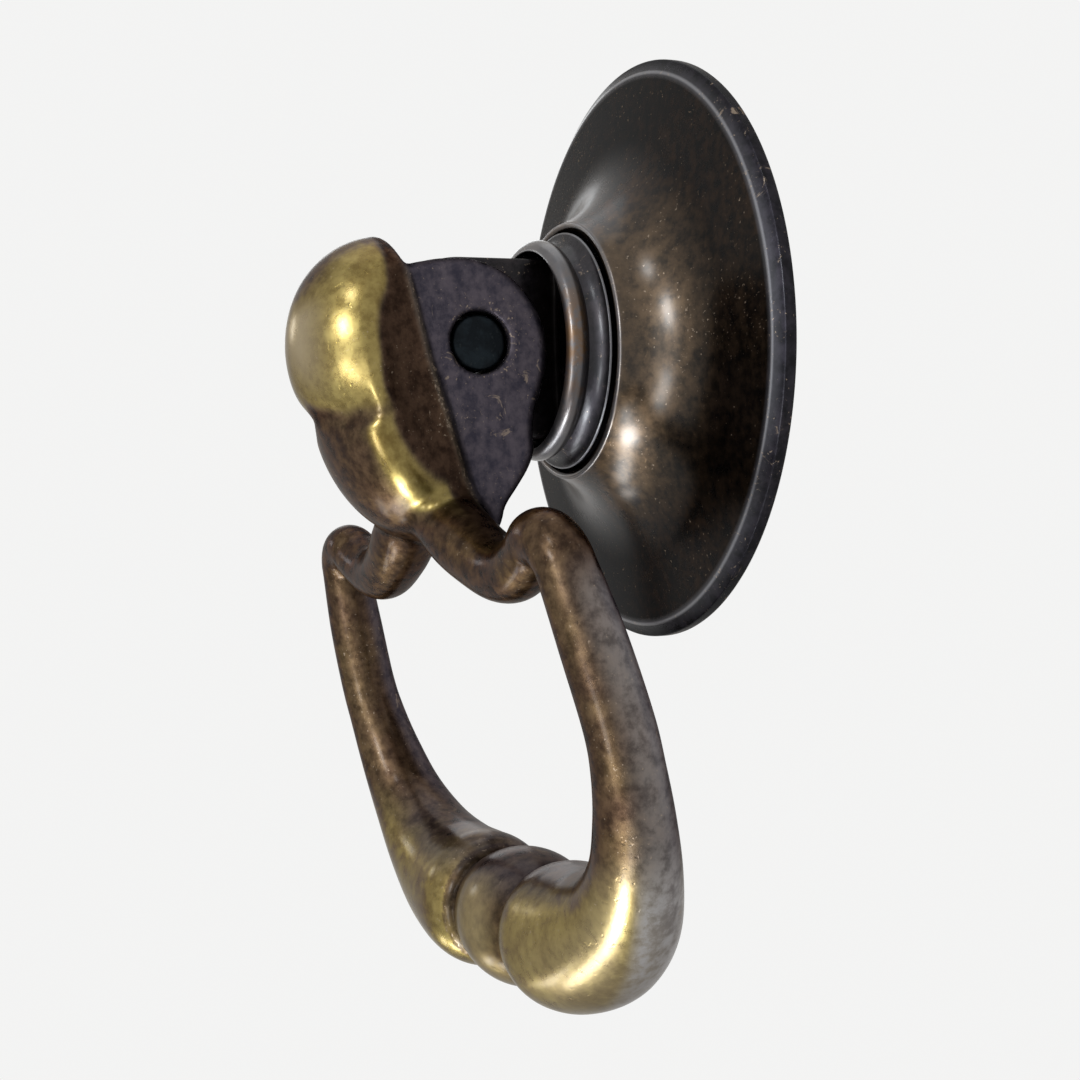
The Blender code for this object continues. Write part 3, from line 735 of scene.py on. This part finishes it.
def post_field(x, y, z):
    """Field of the post: tongue with a round nose, shoulder and shank, less the pin's hole and the thread.

    The thread is a helix: the tapped hole's radius grows by a triangle wave of the stand-off in pitches plus
    the angle round the axis in turns.
    """
    out = -y
    nose = np.hypot(out - PIN_STANDOFF, z)
    side = np.where(out > PIN_STANDOFF, nose, np.abs(z)) - TONGUE_HALF_HEIGHT + POST_ROUND
    face = np.abs(x) - TONGUE_THICKNESS / 2 + POST_ROUND
    corner = np.hypot(np.maximum(side, 0.0), np.maximum(face, 0.0))
    tongue = corner + np.minimum(np.maximum(side, face), 0.0) - POST_ROUND
    tongue = np.maximum(tongue, SHOULDER_BASE + 0.2 - out)
    radius = np.hypot(x, z)
    top = SHOULDER_BASE + SHOULDER_THICKNESS
    shoulder = smooth_max(radius - SHOULDER_RADIUS, np.maximum(out - top, SHOULDER_BASE - out), 0.15)
    shank = np.maximum(radius - SHANK_RADIUS, np.maximum(out - top + 0.1, CLEARANCE - out))
    body = smooth_min(smooth_min(tongue, shoulder, 0.2), shank, 0.1)
    pin = nose - PIN_HOLE_RADIUS - 0.1
    turn = out / THREAD_PITCH + np.arctan2(z, x) / (2 * math.pi)
    thread = THREAD_DEPTH * np.abs(2.0 * (turn - np.floor(turn)) - 1.0)
    screw = np.maximum(radius - TAPPED_HOLE_RADIUS - thread, out - TAPPED_HOLE_END)
    return np.maximum(smooth_max(body, -pin, 0.15), -screw)


def make_post():
    """Post that the handle hangs on, drawn through its field."""
    low = np.array([-5.6, -17.0, -5.6])
    high = np.array([5.6, 0.2, 5.6])
    vertices, quads = surface_nets(field_on_grid(post_field, low, high), low)
    vertices = settle(post_field, vertices)
    obj = mesh_object("post_bar", vertices * MM, quads)
    x, y, z = vertices.T
    # Painted shade: dark in the tapped hole and in the collar's recess round the post
    in_hole = ramp(TAPPED_HOLE_RADIUS + THREAD_DEPTH - np.hypot(x, z), 0.0, 0.1) * ramp(y, -6.5, -5.0)
    in_recess = ramp(y, -8.6, -7.0) * ramp(-y, 5.9, 6.1)
    point_attribute(obj, "rub", np.full(len(x), 0.05))
    point_attribute(obj, "hollow", np.maximum(0.7 * in_hole, 0.9 * in_recess))
    point_attribute(obj, "cool", np.full(len(x), 0.8))
    return obj


def make_pin():
    """Hinge pin: a turned bar along the hinge, each end slightly domed inside a rounded edge."""
    half = EARS_WIDTH / 2 - PIN_END_RECESS
    dome = [(PIN_RADIUS * s, half + 0.1 * (1 - s * s)) for s in np.linspace(0.02, 0.86, 12)]
    edge = arc((PIN_RADIUS - 0.18, half - 0.16), 0.18, 80, 0, 6)
    side = np.vstack([dome, edge])
    profile = np.vstack([side, side[::-1] * (1, -1)])
    turn = np.arange(PIN_STEPS) * 2 * math.pi / PIN_STEPS
    radius, x = profile.T
    points = np.stack(
        [
            np.broadcast_to(x[:, None], (len(x), PIN_STEPS)),
            radius[:, None] * np.cos(turn),
            radius[:, None] * np.sin(turn),
        ],
        axis=2,
    ).reshape(-1, 3)
    row = np.arange(len(profile) - 1)[:, None] * PIN_STEPS
    after = row + PIN_STEPS
    k = np.arange(PIN_STEPS)
    ahead = (k + 1) % PIN_STEPS
    quads = np.stack([row + k, row + ahead, after + ahead, after + k], axis=2).reshape(-1, 4)
    obj = mesh_object("hinge_pin_bar", to_model(points), quads[:, ::-1])
    close_ends(obj)
    return obj


def close_ends(obj):
    """Caps on a mesh's open rings, and its faces turned outwards."""
    bm = bmesh.new()
    bm.from_mesh(obj.data)
    bmesh.ops.holes_fill(bm, edges=[e for e in bm.edges if e.is_boundary])
    bmesh.ops.recalc_face_normals(bm, faces=bm.faces)
    bm.to_mesh(obj.data)
    bm.free()
    obj.data.shade_smooth()


class Finish:
    """A node material built up from small sums; object coordinates in metres place every pattern."""

    def __init__(self, name):
        self.material = bpy.data.materials.new(name)
        self.material.use_nodes = True
        self.nodes = self.material.node_tree.nodes
        self.links = self.material.node_tree.links
        self.shader = self.nodes["Principled BSDF"]
        self.place = self.nodes.new("ShaderNodeTexCoord").outputs["Object"]

    def put(self, socket, value):
        """Give a socket a number, a colour or another node's output."""
        if isinstance(value, bpy.types.NodeSocket):
            self.links.new(value, socket)
        else:
            socket.default_value = value

    def noise(self, scale, detail=4.0, roughness=0.6, distortion=0.0, stretch=(1.0, 1.0, 1.0)):
        """Noise of so many waves to the metre, stretched along the axes."""
        spread = self.nodes.new("ShaderNodeMapping")
        spread.inputs["Scale"].default_value = stretch
        self.links.new(self.place, spread.inputs["Vector"])
        node = self.nodes.new("ShaderNodeTexNoise")
        node.inputs["Scale"].default_value = scale
        node.inputs["Detail"].default_value = detail
        node.inputs["Roughness"].default_value = roughness
        node.inputs["Distortion"].default_value = distortion
        self.links.new(spread.outputs["Vector"], node.inputs["Vector"])
        return node.outputs["Fac"]

    def sum(self, operation, a, b=0.0, clamp=False):
        """A sum of two numbers or outputs, such as ADD, kept between 0 and 1 where clamp is set."""
        node = self.nodes.new("ShaderNodeMath")
        node.operation = operation
        node.use_clamp = clamp
        self.put(node.inputs[0], a)
        self.put(node.inputs[1], b)
        return node.outputs["Value"]

    def times(self, a, b):
        """Product of two numbers or outputs."""
        return self.sum("MULTIPLY", a, b)

    def blend(self, a, b, share):
        """Mean of two outputs, with so large a share of the second."""
        return self.sum("ADD", self.times(a, 1.0 - share), self.times(b, share))

    def swing(self, value, size):
        """A noise output, whose middle is 0.5, moved to swing about 0 by so much."""
        return self.times(self.sum("SUBTRACT", value, 0.5), size)

    def ramp(self, value, low, high, to_low=0.0, to_high=1.0):
        """to_low where the value is below low, to_high above high and a smooth rise between them."""
        node = self.nodes.new("ShaderNodeMapRange")
        node.interpolation_type = "SMOOTHSTEP"
        self.links.new(value, node.inputs["Value"])
        for socket, number in zip(("From Min", "From Max", "To Min", "To Max"), (low, high, to_low, to_high)):
            node.inputs[socket].default_value = number
        return node.outputs["Result"]

    def mix(self, factor, a, b):
        """Colour a where the factor is 0 and colour b where it is 1."""
        node = self.nodes.new("ShaderNodeMix")
        node.data_type = "RGBA"
        self.put(node.inputs["Factor"], factor)
        self.put(node.inputs[6], (*a, 1.0) if isinstance(a, tuple) else a)
        self.put(node.inputs[7], (*b, 1.0) if isinstance(b, tuple) else b)
        return node.outputs[2]

    def worn(self, label):
        """One of the numbers worked out at the mesh's points."""
        node = self.nodes.new("ShaderNodeAttribute")
        node.attribute_name = label
        return node.outputs["Fac"]

    def bump(self, height, strength):
        """Small relief on the surface, up to a tenth of a millimetre high."""
        node = self.nodes.new("ShaderNodeBump")
        node.inputs["Strength"].default_value = strength
        node.inputs["Distance"].default_value = 0.1 * MM
        self.put(node.inputs["Height"], height)
        self.put(self.shader.inputs["Normal"], node.outputs["Normal"])


# Colours of the finishes; a pair is a dark and a light tone
GOLD = ((0.15, 0.1, 0.02), (0.31, 0.238, 0.074))
DULL_GOLD = ((0.085, 0.05, 0.022), (0.22, 0.147, 0.078))
# Painted reflection and highlight colour, also the worn ridge's colour
PALE_SHEEN_AND_WEAR = (0.37, 0.3, 0.19)
BROWN = ((0.025, 0.012, 0.007), (0.086, 0.049, 0.031))
VIOLET = ((0.034, 0.031, 0.045), (0.092, 0.078, 0.094))
DARK_BROWN = ((0.003, 0.002, 0.001), (0.024, 0.015, 0.009))
DARK_VIOLET = ((0.005, 0.005, 0.007), (0.022, 0.02, 0.027))
WORN_METAL = (0.4, 0.31, 0.23)
RUST = (0.12, 0.066, 0.03)
# Painted highlight colour of the turned pieces' rims and bead
SILVER_SHEEN = (0.26, 0.26, 0.28)
# Painted grey reflection over grey patina
ASH_PATINA_AND_SHEEN = (0.4, 0.385, 0.385)
# Near-black of the painted shade in hollows and creases, over dark patina
SHADE_AND_DARK_PATINA = (0.004, 0.003, 0.002)
GRAZING_TINT = (0.3, 0.27, 0.24, 1.0)


def antique_brass(name, gold, brown, violet, pale, mottling, coat, coat_roughness):
    """Antiqued brass under a worn lacquer.

    gold, brown and violet are pairs of a dark and a light tone. Gold shows where the brass is rubbed, and
    mottled patina elsewhere, brown or violet by the number cool. Edges are chipped bare, and hollows and
    creases are painted near-black: painted shade over dark patina.
    """
    f = Finish(name)
    cloud = f.noise(260.0, 4.0, 0.55, 0.3)
    mottle = f.noise(1500.0, 5.0, 0.65)
    grain = f.noise(5200.0, 3.0, 0.6)
    streaks = f.noise(1800.0, 4.0, 0.6, 0.0, (1.0, 1.0, 0.15))
    cool = f.worn("cool")

    # Colour: patina, gold, the painted pale reflection and highlight, the ash-grey painted reflection over
    # grey patina, and rust, each over the one before
    uneven = f.sum("ADD", f.swing(cloud, 2.0 * mottling), f.swing(mottle, 1.2 * mottling))
    rubbed = f.ramp(f.sum("ADD", f.worn("rub"), uneven), 0.0, 1.0)
    tone = f.ramp(f.blend(mottle, streaks, 0.25), 0.34, 0.66)
    patina = f.mix(cool, f.mix(tone, *brown), f.mix(tone, *violet))
    gold_tone = f.ramp(f.blend(cloud, mottle, 0.5), 0.34, 0.64)
    # The pale layer is painted reflection and highlight.
    colour = f.mix(f.worn("pale"), f.mix(rubbed, patina, f.mix(gold_tone, *gold)), pale)
    # Ash-grey, in blotches, is a painted reflection over grey patina.
    blotches = f.ramp(f.blend(mottle, cloud, 0.4), 0.38, 0.58, 0.45, 1.0)
    colour = f.mix(f.times(f.worn("ash"), blotches), colour, ASH_PATINA_AND_SHEEN)
    stains = f.ramp(f.blend(mottle, cloud, 0.6), 0.43, 0.54)
    colour = f.mix(f.times(f.worn("rust"), stains), colour, RUST)

    # Bare specks, most of them on edges, chips in the violet patina, and painted shade over dark patina in
    # the hollows
    chance = f.sum("ADD", f.times(f.worn("edge"), 0.17), f.swing(cloud, 0.3))
    specks = f.times(f.ramp(f.sum("ADD", grain, chance), 0.66, 0.78), 0.6)
    chips = f.times(f.ramp(f.noise(620.0, 5.0, 0.75, 1.2), 0.63, 0.69), f.times(cool, 0.45))
    colour = f.mix(f.sum("MAXIMUM", specks, chips), colour, WORN_METAL)
    shade_and_patina = f.sum("MULTIPLY", f.worn("hollow"), f.ramp(mottle, 0.2, 0.6, 1.0, 0.8), clamp=True)
    f.put(f.shader.inputs["Base Color"], f.mix(shade_and_patina, colour, SHADE_AND_DARK_PATINA))
    f.put(f.shader.inputs["Metallic"], 1.0)
    f.put(f.shader.inputs["Specular Tint"], GRAZING_TINT)

    # The metal is smoother where it is rubbed, and the lacquer clearer; neither shines where the hollows are
    # painted in shade.
    rough = f.sum("ADD", f.ramp(rubbed, 0.0, 1.0, 0.38, 0.27), f.swing(mottle, 0.16))
    rough = f.sum("ADD", rough, f.times(cool, 0.08))
    f.put(f.shader.inputs["Roughness"], f.sum("ADD", rough, f.times(shade_and_patina, 0.25), clamp=True))
    bright = f.sum("ADD", f.worn("rub"), f.worn("pale"))
    lacquer = f.sum("ADD", 0.2, f.times(bright, 2.2), clamp=True)
    shine = f.sum("MULTIPLY", f.sum("SUBTRACT", 1.0, shade_and_patina), f.times(lacquer, coat), clamp=True)
    f.put(f.shader.inputs["Coat Weight"], shine)
    f.put(f.shader.inputs["Coat Roughness"], coat_roughness)

    pits = f.ramp(f.noise(2300.0, 2.0, 0.5), 0.27, 0.36)
    skin = f.sum("ADD", f.times(f.noise(700.0, 5.0, 0.55), 0.5), f.times(pits, 0.25))
    f.bump(f.sum("ADD", skin, f.times(grain, 0.1)), 0.3)
    return f.material


def blackened_steel(name):
    """Blackened steel: near-black with blue-green and grey blotches, pitted and dull."""
    f = Finish(name)
    cloud = f.noise(900.0, 5.0, 0.65, 0.5)
    mottle = f.noise(3200.0, 4.0, 0.6)
    colour = f.mix(f.ramp(cloud, 0.4, 0.65), (0.002, 0.004, 0.006), (0.008, 0.013, 0.017))
    colour = f.mix(f.times(f.ramp(mottle, 0.58, 0.7), 0.5), colour, (0.03, 0.036, 0.038))
    f.put(f.shader.inputs["Base Color"], colour)
    f.put(f.shader.inputs["Metallic"], 0.6)
    f.put(f.shader.inputs["Specular IOR Level"], 0.25)
    f.put(f.shader.inputs["Roughness"], f.ramp(mottle, 0.3, 0.7, 0.36, 0.6))
    f.bump(f.sum("ADD", cloud, f.times(mottle, 0.4)), 0.5)
    return f.material


def turned_wear(obj, worn_and_highlit_rims, painted_shade_radius, law):
    """Wear, painted highlights and painted shade of a turned piece.

    worn_and_highlit_rims are the edges painted bright as a highlight and flecked with wear, as (radius,
    stand-off, width). What lies inside painted_shade_radius is painted dark as shade, apart from the flat
    back.
    The law takes radius, stand-off and the angle round the axis and gives rub, cool, rust and pale.
    """
    points = np.empty(len(obj.data.vertices) * 3, np.float32)
    obj.data.vertices.foreach_get("co", points)
    x, y, z = points.reshape(-1, 3).T / MM
    radius, out = np.hypot(x, z), -y
    edge = np.zeros(len(x))
    for rim_radius, rim_out, width in worn_and_highlit_rims:
        edge = np.maximum(edge, bell_curve(np.hypot(radius - rim_radius, out - rim_out), width))
    rub, cool, rust, pale = law(radius, out, np.arctan2(z, x))
    point_attribute(obj, "edge", 0.4 * edge)
    point_attribute(obj, "rub", rub)
    # Painted highlight: the rims are painted pale.
    point_attribute(obj, "pale", np.maximum(0.6 * edge, pale))
    # Painted shade inside the seat and the recess
    point_attribute(obj, "hollow", ramp(-radius, -painted_shade_radius - 0.04, -painted_shade_radius) * ramp(out, 0.5, 1.5))
    point_attribute(obj, "cool", cool)
    point_attribute(obj, "rust", rust)


def rosette_law(radius, out, _):
    """Rosette: brown flange, a warmer bell, a violet-grey bevel and edge, and a plain dull back."""
    bell = ramp(-radius, -12.0, -7.4) * ramp(out, 0.5, 1.5)
    return 0.02 + 0.26 * bell, ramp(radius, 15.0, 15.2), 0.1 * bell, np.zeros(len(radius))


def collar_law(_, out, angle):
    """Collar: violet-grey, with rusty brown on the bead's right and left where hands reach it, and a painted
    silvery highlight along the bead.
    """
    bead = ramp(out, 6.4, 6.6)
    sides = np.cos(angle) ** 8
    # The last number, pale, is a painted highlight along the bead.
    return 0.05 + 0.12 * bead, 0.85 - 0.2 * bead, bead * sides, 0.05 + 0.23 * bead


def dress(obj, material, body, node):
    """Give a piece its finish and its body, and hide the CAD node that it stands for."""
    obj.data.materials.append(material)
    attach(obj, body)
    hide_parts(node)


cast_brass = antique_brass(
    "rubbed_cast_brass",
    gold=GOLD,
    brown=BROWN,
    violet=VIOLET,
    pale=PALE_SHEEN_AND_WEAR,
    mottling=0.15,
    coat=0.42,
    coat_roughness=0.22,
)
turned_brass = antique_brass(
    "turned_dark_brass",
    gold=DULL_GOLD,
    brown=DARK_BROWN,
    violet=DARK_VIOLET,
    pale=SILVER_SHEEN,
    mottling=0.12,
    coat=0.85,
    coat_roughness=0.22,
)

dress(make_casting(), cast_brass, "drop_handle", "handle")

rosette = make_backplate()
# The bevel and the bell's lip are painted with a highlight, and flecked with wear.
worn_and_highlit_rims = [(BEVEL_RADIUS, BEVEL_HEIGHT, 0.1), (BELL_RADIUS, BELL_HEIGHT, 0.1)]
turned_wear(rosette, worn_and_highlit_rims, SEAT_RADIUS, rosette_law)
dress(rosette, turned_brass, "root", "backplate")

collar = make_collar()
# The collar's rear edge is painted with a highlight, and flecked with wear.
turned_wear(collar, [(EDGE_RADIUS, EDGE_HEIGHT, 0.06)], RECESS_RADIUS, collar_law)
dress(collar, turned_brass, "root", "collar")

dress(make_post(), turned_brass, "root", "pivot_post")
dress(make_pin(), blackened_steel("blackened_pin"), "drop_handle", "hinge_pin")


# Camera: place and turn found by fitting the pull's outlines to the photograph
CAMERA_PLACE = Vector((92.34, -46.47, -10.95)) * MM
CAMERA_YAW = math.radians(67.05)
CAMERA_PITCH = math.radians(-0.36)
CAMERA_ROLL = math.radians(-2.13)
FOCAL_LENGTH = 1828.0
FRAME_SIZE = 1080.0
PICTURE_CENTRE = (537.4, 539.1)


def make_camera():
    """Camera that looks from the front right, level with the handle."""
    data = bpy.data.cameras.new("camera")
    data.sensor_width = 36.0
    data.clip_start = 0.004
    data.lens = data.sensor_width * FOCAL_LENGTH / FRAME_SIZE
    data.shift_x = (FRAME_SIZE / 2 - PICTURE_CENTRE[0]) / FRAME_SIZE
    data.shift_y = (PICTURE_CENTRE[1] - FRAME_SIZE / 2) / FRAME_SIZE
    camera = bpy.data.objects.new("camera", data)
    bpy.context.scene.collection.objects.link(camera)
    back = Vector(
        (
            math.sin(CAMERA_YAW) * math.cos(CAMERA_PITCH),
            -math.cos(CAMERA_YAW) * math.cos(CAMERA_PITCH),
            math.sin(CAMERA_PITCH),
        )
    )
    level = Vector((math.cos(CAMERA_YAW), math.sin(CAMERA_YAW), 0.0))
    upright = back.cross(level)
    right = math.cos(CAMERA_ROLL) * level + math.sin(CAMERA_ROLL) * upright
    up = -math.sin(CAMERA_ROLL) * level + math.cos(CAMERA_ROLL) * upright
    turn = Matrix((right, up, back)).transposed().to_4x4()
    camera.matrix_world = Matrix.Translation(CAMERA_PLACE) @ turn
    bpy.context.scene.camera = camera


make_camera()


# Floor, background and the lamps' colour
FLOOR_LEVEL = -0.3
FLOOR_HALF_WIDTH = 6.0
FLOOR_COLOUR = (0.86, 0.86, 0.85, 1.0)
BACKGROUND = (0.9, 0.9, 0.895, 1.0)
LAMP_COLOUR = (0.93, 0.97, 1.0)


def shown_ray(nodes, links):
    """1 for rays from the camera and in mirrors, which see the pale background as it is written."""
    path = nodes.new("ShaderNodeLightPath")
    shown = nodes.new("ShaderNodeMath")
    shown.operation = "MAXIMUM"
    links.new(path.outputs["Is Camera Ray"], shown.inputs[0])
    links.new(path.outputs["Is Glossy Ray"], shown.inputs[1])
    return shown.outputs["Value"]


def make_floor():
    """Plain pale floor well below the pull, which fades into the background with distance."""
    sides = ((-1, -1), (1, -1), (1, 1), (-1, 1))
    corners = np.array([(FLOOR_HALF_WIDTH * a, FLOOR_HALF_WIDTH * b, FLOOR_LEVEL) for a, b in sides])
    floor = mesh_object("floor", corners, np.array([(0, 1, 2, 3)]))
    f = Finish("pale_floor")
    f.put(f.shader.inputs["Base Color"], FLOOR_COLOUR)
    f.put(f.shader.inputs["Roughness"], 0.9)
    f.put(f.shader.inputs["Specular IOR Level"], 0.0)
    away = f.nodes.new("ShaderNodeVectorMath")
    away.operation = "LENGTH"
    f.links.new(f.place, away.inputs[0])
    haze = f.nodes.new("ShaderNodeEmission")
    haze.inputs["Color"].default_value = BACKGROUND
    fade = f.sum("MULTIPLY", f.ramp(away.outputs["Value"], 0.3, 0.9, 0.5, 1.0), shown_ray(f.nodes, f.links))
    both = f.nodes.new("ShaderNodeMixShader")
    f.links.new(fade, both.inputs["Fac"])
    f.links.new(f.shader.outputs["BSDF"], both.inputs[1])
    f.links.new(haze.outputs["Emission"], both.inputs[2])
    f.links.new(both.outputs["Shader"], f.nodes["Material Output"].inputs["Surface"])
    floor.data.materials.append(f.material)


def make_world(strength=0.4):
    """Pale world: as bright as written to the camera and in mirrors, gentler as a light."""
    world = bpy.data.worlds.new("pale_room")
    bpy.context.scene.world = world
    world.use_nodes = True
    nodes = world.node_tree.nodes
    links = world.node_tree.links
    light = nodes["Background"]
    light.inputs["Color"].default_value = BACKGROUND
    light.inputs["Strength"].default_value = strength
    seen = nodes.new("ShaderNodeBackground")
    seen.inputs["Color"].default_value = BACKGROUND
    choose = nodes.new("ShaderNodeMixShader")
    links.new(shown_ray(nodes, links), choose.inputs["Fac"])
    links.new(light.outputs["Background"], choose.inputs[1])
    links.new(seen.outputs["Background"], choose.inputs[2])
    links.new(choose.outputs["Shader"], nodes["World Output"].inputs["Surface"])


def soft_light(name, azimuth, height, distance, size, brightness, aim=(0.004, -0.011, -0.015)):
    """A soft rectangular lamp that looks at the pull.

    azimuth is in degrees from straight ahead of the pull towards its right, and height in degrees above it.
    size is the lamp's width and height in metres, and brightness how bright its face is, where a white wall
    is 1.
    """
    a, h = math.radians(azimuth), math.radians(height)
    towards = Vector((math.cos(h) * math.sin(a), -math.cos(h) * math.cos(a), math.sin(h)))
    data = bpy.data.lights.new(name, "AREA")
    data.shape = "RECTANGLE"
    data.size, data.size_y = size
    data.energy = brightness * math.pi * size[0] * size[1]
    data.color = LAMP_COLOUR
    lamp = bpy.data.objects.new(name, data)
    bpy.context.scene.collection.objects.link(lamp)
    lamp.location = Vector(aim) + distance * towards
    lamp.rotation_euler = (-towards).to_track_quat("-Z", "Y").to_euler()
    lamp.visible_camera = False


make_floor()
make_world()
soft_light("upper_lamp", 21, 46, 0.42, (0.05, 0.055), 22)
soft_light("middle_lamp", 20, 19, 0.42, (0.06, 0.09), 34)
soft_light("lower_lamp", 20, -19, 0.42, (0.08, 0.14), 13)
soft_light("low_lamp", 15, -60, 0.3, (0.07, 0.07), 34)
soft_light("broad_lamp", 24, 4, 0.6, (0.28, 0.4), 1.4)
soft_light("top_lamp", -95, 66, 0.45, (0.3, 0.3), 0.9)
soft_light("back_lamp", -104, 18, 0.45, (0.15, 0.15), 1.8)
soft_light("left_lamp", -62, 14, 0.5, (0.06, 0.06), 6)
soft_light("left_low_lamp", -62, -45, 0.42, (0.1, 0.1), 9)
soft_light("low_strip", -5, -64, 0.27, (0.36, 0.05), 11)
bpy.context.scene.view_settings.view_transform = "Standard"
